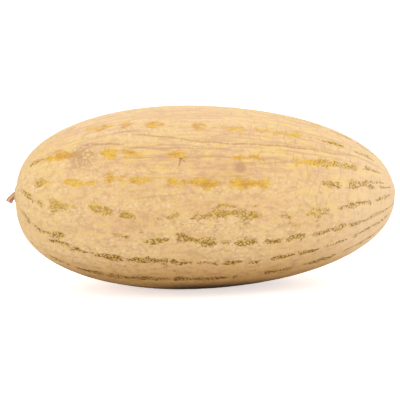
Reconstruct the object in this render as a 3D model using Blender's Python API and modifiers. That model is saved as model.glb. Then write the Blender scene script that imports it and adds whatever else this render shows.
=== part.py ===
"""Oblong netted muskmelon lying on its side, with the dried stub of its stem.

Units are metres, +Z is up. The fruit lies along X, with its stem end towards -X and its blossom end
towards +X. The origin is under the middle of the whole part, on the surface that it rests on.
"""

import math

import bmesh
import bpy
from mathutils import Matrix, Vector

# The fruit: a smooth body turned about its own long axis.
FRUIT_LENGTH = 0.300
FRUIT_THICKNESS = 0.1445
BELLY_FROM_STEM_END = 0.131
STEM_END_FULLNESS = 0.40
BLOSSOM_END_FULLNESS = 0.46

# How it lies: the heavier blossom end hangs a little low, and the belly has pressed itself flat.
BLOSSOM_END_DROP_DEG = 0.6
RESTING_SPOT_WIDTH = 0.020

# The stem stub: it leaves the fruit a little above the long axis, droops, and widens at its cut end.
STEM_ABOVE_AXIS = 0.0040
STEM_REACH = 0.0049
STEM_DROOP = 0.0064
STEM_BASE_THICKNESS = 0.0056
STEM_NECK_THICKNESS = 0.0045
STEM_CUT_THICKNESS = 0.0050
STEM_SEAT_GAP = 0.0003
NECK_SHARE_OF_REACH = 0.75
NECK_SHARE_OF_DROOP = 0.35
HANDLE_SHARE_OF_REACH = 0.33

# How finely the round shapes are divided.
STEPS_AROUND_FRUIT = 48
RINGS_PER_FRUIT_END = 17
RING_CROWDING_AT_ENDS = 1.4
POINTS_PER_STEM_SPAN = 4
STEM_ROUNDNESS = 3

RIND_COLOR = (0.800, 0.545, 0.262)
RIND_ROUGHNESS = 0.62
STEM_COLOR = (0.560, 0.330, 0.190)
STEM_ROUGHNESS = 0.85

AXIS_MERGE_DISTANCE = 0.0001
CUTTER_MARGIN = 0.020
SLOPE_STEP = 0.0001

STEM_SIDE = -1
BLOSSOM_SIDE = 1


def clear_scene():
    for obj in list(bpy.data.objects):
        bpy.data.objects.remove(obj, do_unlink=True)


def make_collection(name):
    collection = bpy.data.collections.new(name)
    bpy.context.scene.collection.children.link(collection)
    return collection


def make_material(name, color, roughness):
    material = bpy.data.materials.new(name)
    material.use_nodes = True
    shader = material.node_tree.nodes["Principled BSDF"]
    shader.inputs["Base Color"].default_value = (*color, 1.0)
    shader.inputs["Roughness"].default_value = roughness
    shader.inputs["Metallic"].default_value = 0.0
    material.diffuse_color = (*color, 1.0)
    return material


def end_length(side):
    """Distance along the axis from the belly, the thickest place, to the tip on that side."""
    if side == STEM_SIDE:
        return BELLY_FROM_STEM_END
    return FRUIT_LENGTH - BELLY_FROM_STEM_END


def end_fullness(side):
    return STEM_END_FULLNESS if side == STEM_SIDE else BLOSSOM_END_FULLNESS


def fruit_point(side, turn):
    """(along the axis from the belly, radius) on the outline. turn is 0 at the tip and pi/2 at the belly."""
    along = side * end_length(side) * math.cos(turn)
    radius = FRUIT_THICKNESS / 2 * math.sin(turn) ** (2 * end_fullness(side))
    return along, radius


def turn_at_radius(side, radius):
    """The place on the outline where it has that radius, as fruit_point's turn."""
    share = radius / (FRUIT_THICKNESS / 2)
    return math.asin(share ** (1 / (2 * end_fullness(side))))


def fruit_outline():
    """Points of the outline from the blossom tip over the belly to the stem tip, crowded at both tips."""
    turns = [
        math.pi / 2 * (ring / RINGS_PER_FRUIT_END) ** RING_CROWDING_AT_ENDS
        for ring in range(RINGS_PER_FRUIT_END + 1)
    ]
    blossom_half = [fruit_point(BLOSSOM_SIDE, turn) for turn in turns]
    stem_half = [fruit_point(STEM_SIDE, turn) for turn in reversed(turns[:-1])]
    return blossom_half + stem_half


def axis_height():
    """Height of the long axis at the belly, so that the resting spot comes out as wide as it is set."""
    drop = math.radians(BLOSSOM_END_DROP_DEG)
    reach_down = max(along * math.sin(drop) + radius * math.cos(drop) for along, radius in fruit_outline())
    half_thickness = FRUIT_THICKNESS / 2
    spot_depth = half_thickness - math.sqrt(half_thickness**2 - (RESTING_SPOT_WIDTH / 2) ** 2)
    return reach_down - spot_depth


def make_fruit(collection, axis_frame):
    """The outline drawn in the local XZ plane, turned about local Z, which then points along the fruit."""
    outline = fruit_outline()
    mesh = bpy.data.meshes.new("melon")
    points = [(radius, 0.0, along) for along, radius in outline]
    edges = [(index, index + 1) for index in range(len(points) - 1)]
    mesh.from_pydata(points, edges, [])
    fruit = bpy.data.objects.new("melon", mesh)
    collection.objects.link(fruit)
    fruit.parent = axis_frame
    fruit.rotation_euler = (0.0, math.radians(90.0), 0.0)

    turning = fruit.modifiers.new("turned_about_axis", "SCREW")
    turning.axis = "Z"
    turning.steps = STEPS_AROUND_FRUIT
    turning.render_steps = STEPS_AROUND_FRUIT
    turning.use_merge_vertices = True
    turning.merge_threshold = AXIS_MERGE_DISTANCE
    turning.use_smooth_shade = True

    fruit.data.materials.append(make_material("netted_rind", RIND_COLOR, RIND_ROUGHNESS))
    return fruit


def make_ground_cutter(collection):
    """A block filling the space under the resting surface, which takes the curved underside off the belly."""
    length = FRUIT_LENGTH + 2 * CUTTER_MARGIN
    width = FRUIT_THICKNESS + 2 * CUTTER_MARGIN
    depth = FRUIT_THICKNESS
    mesh = bpy.data.meshes.new("ground_cutter")
    shape = bmesh.new()
    bmesh.ops.create_cube(shape, size=1.0, matrix=Matrix.Diagonal((length, width, depth, 1.0)))
    bmesh.ops.translate(shape, verts=shape.verts, vec=(0.0, 0.0, -depth / 2))
    shape.to_mesh(mesh)
    shape.free()
    cutter = bpy.data.objects.new("ground_cutter", mesh)
    cutter.hide_render = True
    cutter.display_type = "WIRE"
    collection.objects.link(cutter)
    return cutter


def cut_resting_spot(fruit, cutter):
    cut = fruit.modifiers.new("resting_spot", "BOOLEAN")
    cut.operation = "DIFFERENCE"
    cut.solver = "EXACT"
    cut.object = cutter


def stem_seat():
    """The stem's foot and the way it points, in the axis frame: square to the rind, a gap clear of it."""
    turn = turn_at_radius(STEM_SIDE, STEM_ABOVE_AXIS)
    along_before, radius_before = fruit_point(STEM_SIDE, turn - SLOPE_STEP)
    along_after, radius_after = fruit_point(STEM_SIDE, turn + SLOPE_STEP)
    over_the_rind = Vector((along_after - along_before, 0.0, radius_after - radius_before)).normalized()
    outwards = Vector((-over_the_rind.z, 0.0, over_the_rind.x))
    along, radius = fruit_point(STEM_SIDE, turn)
    foot = Vector((along, 0.0, radius)) + outwards * STEM_SEAT_GAP
    return foot, outwards


def make_stem(collection, axis_frame):
    """A short tube on a drooping curve: thick at its foot, thin at the neck, wider at the cut."""
    foot, outwards = stem_seat()
    neck_sag = Vector((0.0, 0.0, -STEM_DROOP * NECK_SHARE_OF_DROOP))
    neck = foot + outwards * STEM_REACH * NECK_SHARE_OF_REACH + neck_sag
    cut_end = foot + Vector((-STEM_REACH, 0.0, -STEM_DROOP))
    downwards = Vector((-STEM_REACH, 0.0, -2 * STEM_DROOP)).normalized()

    curve = bpy.data.curves.new("stem", "CURVE")
    curve.dimensions = "3D"
    curve.resolution_u = POINTS_PER_STEM_SPAN
    curve.bevel_depth = STEM_NECK_THICKNESS / 2
    curve.bevel_resolution = STEM_ROUNDNESS
    curve.use_fill_caps = True
    spline = curve.splines.new("BEZIER")
    spline.bezier_points.add(2)
    stations = [
        (foot, outwards, STEM_BASE_THICKNESS),
        (neck, (cut_end - foot).normalized(), STEM_NECK_THICKNESS),
        (cut_end, downwards, STEM_CUT_THICKNESS),
    ]
    handle_reach = STEM_REACH * HANDLE_SHARE_OF_REACH
    for point, (place, heading, thickness) in zip(spline.bezier_points, stations):
        point.co = place
        point.handle_left = place - heading * handle_reach
        point.handle_right = place + heading * handle_reach
        point.radius = thickness / STEM_NECK_THICKNESS

    stem = bpy.data.objects.new("stem", curve)
    collection.objects.link(stem)
    stem.parent = axis_frame
    stem.data.materials.append(make_material("dried_stem", STEM_COLOR, STEM_ROUGHNESS))
    return stem


def centre_over_origin(axis_frame, parts):
    """Slides the whole part level, until the middle of its box is over the origin."""
    bpy.context.view_layer.update()
    graph = bpy.context.evaluated_depsgraph_get()
    corners = []
    for part in parts:
        evaluated = part.evaluated_get(graph)
        mesh = evaluated.to_mesh()
        corners += [evaluated.matrix_world @ vertex.co for vertex in mesh.vertices]
        evaluated.to_mesh_clear()
    for level_axis in (0, 1):
        low = min(corner[level_axis] for corner in corners)
        high = max(corner[level_axis] for corner in corners)
        axis_frame.location[level_axis] -= (low + high) / 2


def build_melon():
    clear_scene()
    parts_collection = make_collection("cantaloupe_melon")
    cutters_collection = make_collection("cutters")

    axis_frame = bpy.data.objects.new("fruit_axis", None)
    parts_collection.objects.link(axis_frame)
    axis_frame.location = (0.0, 0.0, axis_height())
    axis_frame.rotation_euler = (0.0, math.radians(BLOSSOM_END_DROP_DEG), 0.0)

    fruit = make_fruit(parts_collection, axis_frame)
    cutter = make_ground_cutter(cutters_collection)
    cut_resting_spot(fruit, cutter)
    stem = make_stem(parts_collection, axis_frame)
    centre_over_origin(axis_frame, [fruit, stem])


build_melon()
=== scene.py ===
import math
import random

import bpy
import numpy as np
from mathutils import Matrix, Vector


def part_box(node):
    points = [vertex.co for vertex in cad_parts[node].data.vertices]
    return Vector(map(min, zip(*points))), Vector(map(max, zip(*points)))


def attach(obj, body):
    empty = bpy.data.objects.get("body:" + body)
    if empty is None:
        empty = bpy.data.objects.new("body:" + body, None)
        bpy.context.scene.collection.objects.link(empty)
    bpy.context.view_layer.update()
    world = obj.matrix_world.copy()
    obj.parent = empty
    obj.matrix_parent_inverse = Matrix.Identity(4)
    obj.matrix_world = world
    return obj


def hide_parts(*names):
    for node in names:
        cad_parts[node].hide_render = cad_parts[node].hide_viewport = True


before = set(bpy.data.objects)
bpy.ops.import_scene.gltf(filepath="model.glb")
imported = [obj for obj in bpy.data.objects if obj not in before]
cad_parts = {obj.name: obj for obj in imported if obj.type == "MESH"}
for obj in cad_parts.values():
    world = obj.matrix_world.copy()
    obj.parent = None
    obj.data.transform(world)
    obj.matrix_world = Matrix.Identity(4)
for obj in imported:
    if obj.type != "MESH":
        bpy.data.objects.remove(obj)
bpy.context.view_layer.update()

# ---------------------------------------------------------------------------------------------
# The studio: a white table that runs out of sight under a bright white surround, with one soft lamp
# high over the front of the melon. The camera stands a little above it, a little to the stem side.
# ---------------------------------------------------------------------------------------------

CAMERA_AZIMUTH = math.radians(-6.5)
CAMERA_ELEVATION = math.radians(11.0)
CAMERA_DISTANCE = 1.2
CAMERA_LENS_MM = 137.0
AIM_ALONG_MELON = -0.0020
AIM_ABOVE_TABLE = 0.069

LAMP_AZIMUTH = math.radians(2.0)
LAMP_ELEVATION = math.radians(64.0)
LAMP_SPREAD = math.radians(34.0)
LAMP_STRENGTH = 0.50
SURROUND_WHITE = (1.0, 1.0, 1.0, 1.0)
SURROUND_STRENGTH = 1.11
TABLE_HALF_WIDTH = 12.0
TABLE_ROUGHNESS = 0.9
TABLE_WHITE = (0.90, 0.90, 0.90, 1.0)
TABLE_GLOW = 0.68
TABLE_GLOW_COLOR = (1.0, 0.91, 0.87, 1.0)
BOUNCE_GREY = (0.88, 0.88, 0.88, 1.0)
BOUNCE_BELOW_TABLE = 0.0005


def direction(azimuth, elevation):
    """The way from the melon towards something seen at that bearing and height, as a unit vector."""
    return Vector((
        math.sin(azimuth) * math.cos(elevation),
        -math.cos(azimuth) * math.cos(elevation),
        math.sin(elevation),
    ))


camera_data = bpy.data.cameras.new("studio_camera")
camera_data.lens = CAMERA_LENS_MM
camera = bpy.data.objects.new("studio_camera", camera_data)
towards_camera = direction(CAMERA_AZIMUTH, CAMERA_ELEVATION)
camera.location = Vector((AIM_ALONG_MELON, 0.0, AIM_ABOVE_TABLE)) + towards_camera * CAMERA_DISTANCE
camera.rotation_euler = (-towards_camera).to_track_quat("-Z", "Y").to_euler()
bpy.context.scene.collection.objects.link(camera)
bpy.context.scene.camera = camera

lamp_data = bpy.data.lights.new("soft_lamp", "SUN")
lamp_data.energy = LAMP_STRENGTH
lamp_data.angle = LAMP_SPREAD
lamp = bpy.data.objects.new("soft_lamp", lamp_data)
lamp.rotation_euler = (-direction(LAMP_AZIMUTH, LAMP_ELEVATION)).to_track_quat("-Z", "Y").to_euler()
bpy.context.scene.collection.objects.link(lamp)

surround = bpy.data.worlds.new("white_surround")
surround.use_nodes = True
surround.node_tree.nodes["Background"].inputs["Color"].default_value = SURROUND_WHITE
surround.node_tree.nodes["Background"].inputs["Strength"].default_value = SURROUND_STRENGTH
bpy.context.scene.world = surround
bpy.context.scene.view_settings.view_transform = "Standard"


def lay_sheet(name, height, color, glow):
    """A square sheet on the floor, which is part of the studio and not of the melon."""
    corners = ((-1, -1), (1, -1), (1, 1), (-1, 1))
    points = [(TABLE_HALF_WIDTH * x, TABLE_HALF_WIDTH * y, height) for x, y in corners]
    mesh = bpy.data.meshes.new(name)
    mesh.from_pydata(points, [], [(0, 1, 2, 3)])
    paint = bpy.data.materials.new(name)
    paint.use_nodes = True
    shader = paint.node_tree.nodes["Principled BSDF"]
    shader.inputs["Base Color"].default_value = color
    shader.inputs["Roughness"].default_value = TABLE_ROUGHNESS
    shader.inputs["Specular IOR Level"].default_value = 0.0
    shader.inputs["Emission Color"].default_value = TABLE_GLOW_COLOR
    shader.inputs["Emission Strength"].default_value = glow
    mesh.materials.append(paint)
    sheet = bpy.data.objects.new(name, mesh)
    bpy.context.scene.collection.objects.link(sheet)
    return sheet


# The table is two sheets. The one that is seen is lit from within, so that it looks clean white right up
# to the melon. The grey one just under it isn't seen, and gives the underside the dimmer light that a table
# would.
table = lay_sheet("white_table", 0.0, TABLE_WHITE, TABLE_GLOW)
table.visible_diffuse = False
table.visible_glossy = False
table.visible_shadow = False
bounce = lay_sheet("table_bounce", -BOUNCE_BELOW_TABLE, BOUNCE_GREY, 0.0)
bounce.visible_camera = False

# ---------------------------------------------------------------------------------------------
# The rind: the whole outside of the fruit, one skin grown in one piece. Smooth yellow skin shows
# between fine ridges of pale cork, which healed over the cracks that opened as the fruit swelled.
# Along some twenty bands the cork is thin, and the golden or green skin under it shows as streaks.
# ---------------------------------------------------------------------------------------------

BELLY_FROM_STEM_END = 0.131
STEM_END_FULLNESS = 0.40
BLOSSOM_END_FULLNESS = 0.46
BLOSSOM_END_DROP = math.radians(0.6)
TIPS_ABOVE_AXIS = 0.0045
EVEN_RINGS = 0.08

fruit_low, fruit_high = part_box("melon")
fruit_length = fruit_high.x - fruit_low.x
fruit_thickness = fruit_high.y - fruit_low.y
belly_place = Vector((fruit_low.x + BELLY_FROM_STEM_END, 0.0, fruit_high.z - fruit_thickness / 2))

FRUIT_SHAPE = {
    "Length": ("NodeSocketFloat", fruit_length),
    "Thickness": ("NodeSocketFloat", fruit_thickness),
    "Belly From Stem End": ("NodeSocketFloat", BELLY_FROM_STEM_END),
    "Stem End Fullness": ("NodeSocketFloat", STEM_END_FULLNESS),
    "Blossom End Fullness": ("NodeSocketFloat", BLOSSOM_END_FULLNESS),
    "Tips Above Axis": ("NodeSocketFloat", TIPS_ABOVE_AXIS),
    "Blossom End Drop": ("NodeSocketFloat", BLOSSOM_END_DROP),
    "Belly Place": ("NodeSocketVector", belly_place),
    "Points Around": ("NodeSocketInt", 400),
    "Rings": ("NodeSocketInt", 246),
}

CORK_RELIEF = {
    "Open Net Height": ("NodeSocketFloat", 0.00016),
    "Close Net Height": ("NodeSocketFloat", 0.00010),
    "Long Crack Depth": ("NodeSocketFloat", 0.00035),
    "Furrow Depth": ("NodeSocketFloat", 0.00045),
    "Unevenness": ("NodeSocketFloat", 0.0012),
    "Stem Collar Height": ("NodeSocketFloat", 0.0009),
    "Blossom Scar Height": ("NodeSocketFloat", 0.0007),
    "Knot Place": ("NodeSocketVector", Vector((0.0, 0.0, 0.0))),
    "Knot Height": ("NodeSocketFloat", 0.0007),
}

SWELLING_SPACING = 0.050
SWELLING_STRETCH = 1.8
STEM_COLLAR_RADIUS = 0.0046
STEM_COLLAR_WIDTH = 0.0014
SCAR_RIM_RADIUS = 0.0048
SCAR_RIM_WIDTH = 0.0016
SCAR_PIT_RADIUS = 0.0022
CRACK_WIDTH_MM = 1.0
KNOT_RADIUS = 0.015
KNOT_FULL_RADIUS = 0.008
CROSS_RIDGE_HALF_WIDTH = 0.0016
CROSS_LINES_LEFT_OUT = 0.35


class Reading:
    """What a node gives out: a number, a place, a colour or a mesh. Arithmetic on a number adds the nodes
    that do it."""

    def __init__(self, socket):
        self.socket = socket

    def __add__(self, other):
        return calc("ADD", self, other)

    def __radd__(self, other):
        return calc("ADD", other, self)

    def __sub__(self, other):
        return calc("SUBTRACT", self, other)

    def __rsub__(self, other):
        return calc("SUBTRACT", other, self)

    def __mul__(self, other):
        return calc("MULTIPLY", self, other)

    def __rmul__(self, other):
        return calc("MULTIPLY", other, self)

    def __truediv__(self, other):
        return calc("DIVIDE", self, other)

    def __rtruediv__(self, other):
        return calc("DIVIDE", other, self)


def wire(socket, value):
    """Links a reading to the socket, or sets the socket to a plain value."""
    if isinstance(value, Reading):
        socket.id_data.links.new(value.socket, socket)
    else:
        socket.default_value = value


def add_node(tree, kind, **inputs):
    """A node of that kind, with the named inputs wired. An underscore in a name stands for a space."""
    node = tree.nodes.new(kind)
    for name, value in inputs.items():
        wire(node.inputs[name.replace("_", " ")], value)
    return node


def tree_of(*values):
    """The tree that the readings among these values belong to."""
    return next(value.socket.id_data for value in values if isinstance(value, Reading))


def calc(operation, *values):
    node = tree_of(*values).nodes.new("ShaderNodeMath")
    node.operation = operation
    for socket, value in zip(node.inputs, values):
        wire(socket, value)
    return Reading(node.outputs[0])


def vector_calc(operation, first, second):
    node = tree_of(first, second).nodes.new("ShaderNodeVectorMath")
    node.operation = operation
    wire(node.inputs[0], first)
    wire(node.inputs[1], second)
    return Reading(node.outputs["Value" if operation in ("DISTANCE", "DOT_PRODUCT") else "Vector"])


def scaled(vector, times):
    node = tree_of(vector, times).nodes.new("ShaderNodeVectorMath")
    node.operation = "SCALE"
    wire(node.inputs[0], vector)
    wire(node.inputs["Scale"], times)
    return Reading(node.outputs[0])


def split_up(place):
    """Its x, y and z."""
    node = add_node(tree_of(place), "ShaderNodeSeparateXYZ", Vector=place)
    return tuple(Reading(socket) for socket in node.outputs)


def vector_of(x, y, z):
    return Reading(add_node(tree_of(x, y, z), "ShaderNodeCombineXYZ", X=x, Y=y, Z=z).outputs[0])


def fade(value, start, end):
    """0 up to start, 1 from end on, with a smooth change between. end may be the lower one."""
    node = add_node(tree_of(value), "ShaderNodeMapRange", Value=value, From_Min=start, From_Max=end)
    node.interpolation_type = "SMOOTHSTEP"
    return Reading(node.outputs["Result"])


def hump(value, centre, half_width):
    """A bell-shaped rise to 1 where the value is at the centre."""
    off = (value - centre) / half_width
    return calc("EXPONENT", off * off * -1.0)


def cloud(place, size, detail=2.0):
    """Soft random patches about that far apart: a number round 0.5, and a direction as a colour."""
    node = add_node(tree_of(place), "ShaderNodeTexNoise", Vector=place, Scale=1.0 / size, Detail=detail)
    return Reading(node.outputs[0]), Reading(node.outputs["Color"])


def cell_edge(place, size):
    """How far a point is from the edge of its cell, as a share of the cell's size."""
    node = add_node(tree_of(place), "ShaderNodeTexVoronoi", Vector=place, Scale=1.0 / size)
    node.feature = "DISTANCE_TO_EDGE"
    return Reading(node.outputs["Distance"])


def cell_lot(place, size):
    """Two random numbers drawn once for each cell, the same all over the cell."""
    node = add_node(tree_of(place), "ShaderNodeTexVoronoi", Vector=place, Scale=1.0 / size)
    return split_up(Reading(node.outputs["Color"]))[:2]


def stretched(place, times):
    """The place with the fruit's length squeezed, so that a pattern read there comes out that much longer."""
    return vector_calc("MULTIPLY", place, (1.0 / times, 1.0, 1.0))


def wavered(place, size, reach):
    """The place pushed about by a soft random field, so that lines read there waver."""
    push = vector_calc("SUBTRACT", cloud(place, size)[1], (0.5, 0.5, 0.5))
    return vector_calc("ADD", place, vector_calc("MULTIPLY", push, (reach, reach, reach)))


def chance_of(number):
    """A random number from 0 to 1 that belongs to that whole number."""
    node = tree_of(number).nodes.new("ShaderNodeTexWhiteNoise")
    node.noise_dimensions = "1D"
    wire(node.inputs["W"], number)
    return Reading(node.outputs["Value"])


def off_whole(value):
    """How far a value is from the nearest whole number, and that number."""
    nearest = calc("ROUND", value)
    return calc("ABSOLUTE", value - nearest), nearest


def on_round_bar(place, ring_radius):
    """How far round the fruit a point is, and where it would be if the fruit were a straight bar as thick as
    its belly. Patterns read there run lengthwise and draw together towards both tips, as a melon's do."""
    x, y, z = split_up(place)
    from_belly = x - belly_place.x
    narrowing = 1.0 - ring_radius / (fruit_thickness / 2)
    tilt = from_belly * -math.sin(BLOSSOM_END_DROP)
    axis_height = belly_place.z + tilt + narrowing * narrowing * TIPS_ABOVE_AXIS
    turn = calc("ARCTAN2", z - axis_height, y * -1.0)
    to_front = calc("COSINE", turn) * (fruit_thickness / 2)
    to_top = calc("SINE", turn) * (fruit_thickness / 2)
    return turn, vector_of(x, to_front, to_top)


# Lengths, spacings and radii are in metres. A stretch is how many times as long as wide a pattern comes out,
# and the drifts are counted in rows, panels and spokes.
PANEL_ROWS = 58
PANEL_LENGTH = 0.0088
PANEL_SHIFT = 9.0
SMALL_CELL = 0.0030
SMALL_CELL_STRETCH = 1.35
COARSE_CELL = 0.0036
CELL_WAVER_SPACING = 0.005
CELL_WAVER_REACH = 0.0030
NET_PATCH_SPACING = 0.055
SLOW_DRIFT_SPACING = 0.045
SLOW_DRIFT_STRETCH = 2.5
SLOW_DRIFT_ROWS = 2.6
QUICK_DRIFT_SPACING = 0.011
QUICK_DRIFT_STRETCH = 1.6
QUICK_DRIFT_ROWS = 0.9
QUICK_DRIFT_PANELS = 1.5
QUICK_DRIFT_SPOKES = 1.6
LINE_BREAK_SPACING = 0.013
LINE_BREAK_STRETCH = 6.0
BARE_TIP_RADIUS = 0.016
NETTED_FROM_RADIUS = 0.036
TIP_SPOKES = 26
SPOKES_FULL_RADIUS = 0.018
SPOKES_END_RADIUS = 0.032
GRAIN_SPACING = 0.0026
GRAIN_STRETCH = 9.0
# These keep the numbers that one row's panels and lines draw by apart from the next row's.
PANEL_NUMBERS_PER_ROW = 97.0
LINE_NUMBERS_PER_ROW = 59.0


def net_pattern(place, from_stem_end, ring_radius):
    """Where the cork runs, the same for the relief and the colour. Over the top, long cracks run from end to
    end and shorter ones cross them, which parts the skin into rows of panels. Lower down it is all small
    cells."""
    turn, bar = on_round_bar(place, ring_radius)
    x, _, z = split_up(place)
    height_share = z / fruit_thickness
    length_share = x / fruit_length
    patch = cloud(place, NET_PATCH_SPACING)[0]
    openness = height_share * 0.5 + patch + length_share * 1.50
    highness = height_share + patch * 0.5
    off_tips = fade(ring_radius, BARE_TIP_RADIUS, NETTED_FROM_RADIUS)
    off_underside = fade(height_share, 0.34, 0.54)

    # Rows of panels, as numbers that count round the fruit and come back to the first one.
    slow_place = stretched(bar, SLOW_DRIFT_STRETCH)
    quick_place = stretched(place, QUICK_DRIFT_STRETCH)
    slow_drift = cloud(slow_place, SLOW_DRIFT_SPACING)[0] - 0.5
    quick_drift = cloud(quick_place, QUICK_DRIFT_SPACING)[0] - 0.5
    level_row = turn * (PANEL_ROWS / math.tau)
    row = level_row + slow_drift * SLOW_DRIFT_ROWS + quick_drift * QUICK_DRIFT_ROWS
    off_row_line, _ = off_whole(row)
    row_width = ring_radius * (math.tau / PANEL_ROWS)
    row_number = calc("FLOORED_MODULO", calc("FLOOR", row), PANEL_ROWS)
    row_shift = chance_of(row_number) * PANEL_SHIFT
    along_row = from_stem_end / PANEL_LENGTH + row_shift + quick_drift * QUICK_DRIFT_PANELS
    off_cross_line, cross_line = off_whole(along_row)
    panel_number = calc("FLOOR", along_row) + row_number * PANEL_NUMBERS_PER_ROW
    cross_number = cross_line + row_number * LINE_NUMBERS_PER_ROW
    break_place = stretched(bar, LINE_BREAK_STRETCH)
    wandering = wavered(place, CELL_WAVER_SPACING, CELL_WAVER_REACH)

    # Round both tips the cork is cracked like the spokes of a wheel.
    spoke = turn * (TIP_SPOKES / math.tau) + quick_drift * QUICK_DRIFT_SPOKES
    off_spoke, _ = off_whole(spoke)
    return {
        "long_line": off_row_line * row_width,
        "long_breaks": fade(cloud(break_place, LINE_BREAK_SPACING)[0], 0.40, 0.58),
        "cross_line": off_cross_line * PANEL_LENGTH,
        "cross_chance": chance_of(cross_number),
        "panel_chance": chance_of(panel_number),
        "spoke_line": off_spoke * ring_radius * (math.tau / TIP_SPOKES),
        "near_tips": fade(ring_radius, SPOKES_END_RADIUS, SPOKES_FULL_RADIUS),
        "small_edge": cell_edge(stretched(wandering, SMALL_CELL_STRETCH), SMALL_CELL),
        "coarse_edge": cell_edge(wandering, COARSE_CELL),
        "grain": cloud(stretched(bar, GRAIN_STRETCH), GRAIN_SPACING)[0],
        "open": fade(openness, 0.95, 1.20) * off_tips * off_underside,
        "upper": fade(highness, 0.84, 1.04) * off_tips,
        "bar": bar,
    }


def tree_with_inputs(name, inputs, takes_geometry):
    tree = bpy.data.node_groups.new(name, "GeometryNodeTree")
    if takes_geometry:
        tree.interface.new_socket(name="Geometry", in_out="INPUT", socket_type="NodeSocketGeometry")
    for label, (kind, value) in inputs.items():
        socket = tree.interface.new_socket(name=label, in_out="INPUT", socket_type=kind)
        socket.default_value = value
    tree.interface.new_socket(name="Geometry", in_out="OUTPUT", socket_type="NodeSocketGeometry")
    given = tree.nodes.new("NodeGroupInput").outputs
    return tree, {socket.name: Reading(socket) for socket in given if socket.name}


def keep(geometry, name, value):
    """Keeps a number on each point of the mesh under that name. kept() reads it in a later tree."""
    store = add_node(tree_of(geometry), "GeometryNodeStoreNamedAttribute", Geometry=geometry, Name=name)
    store.data_type = "FLOAT"
    store.domain = "POINT"
    wire(next(s for s in store.inputs if s.name == "Value" and s.enabled), value)
    return Reading(store.outputs["Geometry"])


def kept(tree, name):
    read = add_node(tree, "GeometryNodeInputNamedAttribute", Name=name)
    read.data_type = "FLOAT"
    return Reading(next(s for s in read.outputs if s.name == "Attribute" and s.enabled))


def point_place(tree):
    return Reading(tree.nodes.new("GeometryNodeInputPosition").outputs[0])


def moved(geometry, **to):
    """The mesh with its points moved, to a Position or by an Offset."""
    node = add_node(tree_of(geometry), "GeometryNodeSetPosition", Geometry=geometry, **to)
    return Reading(node.outputs["Geometry"])


def push_out(geometry, distance):
    """Moves each point square to the surface."""
    normal = Reading(tree_of(geometry).nodes.new("GeometryNodeInputNormal").outputs[0])
    return moved(geometry, Offset=scaled(normal, distance))


def ball_of_rings(tree, given):
    """A plain ball, and the x, y and z of each of its points."""
    ball = add_node(tree, "GeometryNodeMeshUVSphere", Segments=given["Points Around"], Rings=given["Rings"])
    return Reading(ball.outputs["Mesh"]), *split_up(point_place(tree))


def finish_tree(tree, geometry, material):
    """Smooth shading, realized instances and the material, and so to the output."""
    for kind, settings in (
        ("GeometryNodeSetShadeSmooth", {}),
        ("GeometryNodeRealizeInstances", {}),
        ("GeometryNodeSetMaterial", {"Material": material}),
    ):
        geometry = Reading(add_node(tree, kind, Geometry=geometry, **settings).outputs["Geometry"])
    add_node(tree, "NodeGroupOutput", Geometry=geometry)


def fruit_shape_tree(material):
    """Turns a plain ball of rings into the fruit: each ring moves to its place along it and takes its
    width."""
    tree, given = tree_with_inputs("fruit_shape", FRUIT_SHAPE, takes_geometry=False)
    ball, ball_x, ball_y, ball_z = ball_of_rings(tree, given)

    # How far round from the stem tip each ring is, with the rings near the belly drawn a little apart.
    even_turn = calc("ARCCOSINE", ball_z)
    ring_turn = even_turn + calc("SINE", even_turn * 2.0) * EVEN_RINGS
    on_stem_side = calc("LESS_THAN", ring_turn, math.pi / 2)
    blossom_length = given["Length"] - given["Belly From Stem End"]

    def by_side(stem_value, blossom_value):
        return blossom_value + (stem_value - blossom_value) * on_stem_side

    fullness = by_side(given["Stem End Fullness"], given["Blossom End Fullness"])
    side_length = by_side(given["Belly From Stem End"], blossom_length)
    half_thickness = given["Thickness"] * 0.5
    ring_sine = calc("MAXIMUM", calc("SINE", ring_turn), 0.0)
    ring_share = calc("POWER", ring_sine, fullness * 2.0)
    ring_radius = ring_share * half_thickness

    # Each ring is a circle across the fruit. Towards the tips the middles of the circles climb above the
    # axis, and a point's place along the fruit follows from how far it is from the axis.
    flat_reach = calc("SQRT", ball_x * ball_x + ball_y * ball_y)
    to_front = ball_x / flat_reach * ring_radius
    to_top = ball_y / flat_reach * ring_radius
    from_belly = 1.0 - ring_share
    to_top = to_top + from_belly * from_belly * given["Tips Above Axis"]
    reach = calc("SQRT", to_front * to_front + to_top * to_top)
    reach_share = calc("MINIMUM", reach / half_thickness, 1.0)
    fall = calc("POWER", reach_share, 1.0 / fullness)
    outline = calc("SQRT", calc("MAXIMUM", 1.0 - fall, 0.0))
    towards_blossom = 1.0 - on_stem_side * 2.0
    along = outline * side_length * towards_blossom

    upright = vector_of(along, to_front * -1.0, to_top)
    tilt = add_node(tree, "ShaderNodeVectorRotate", Vector=upright, Angle=given["Blossom End Drop"])
    tilt.rotation_type = "Y_AXIS"
    lying = vector_calc("ADD", Reading(tilt.outputs[0]), given["Belly Place"])

    # The relief, the streaks and the colours ask where on the fruit a point is, so each point keeps that.
    body = keep(ball, "from_stem_end", along + given["Belly From Stem End"])
    body = keep(body, "turn_round", calc("ARCTAN2", ball_y, ball_x))
    body = keep(body, "ring_radius", ring_radius)
    finish_tree(tree, moved(body, Position=lying), material)
    return tree


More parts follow.
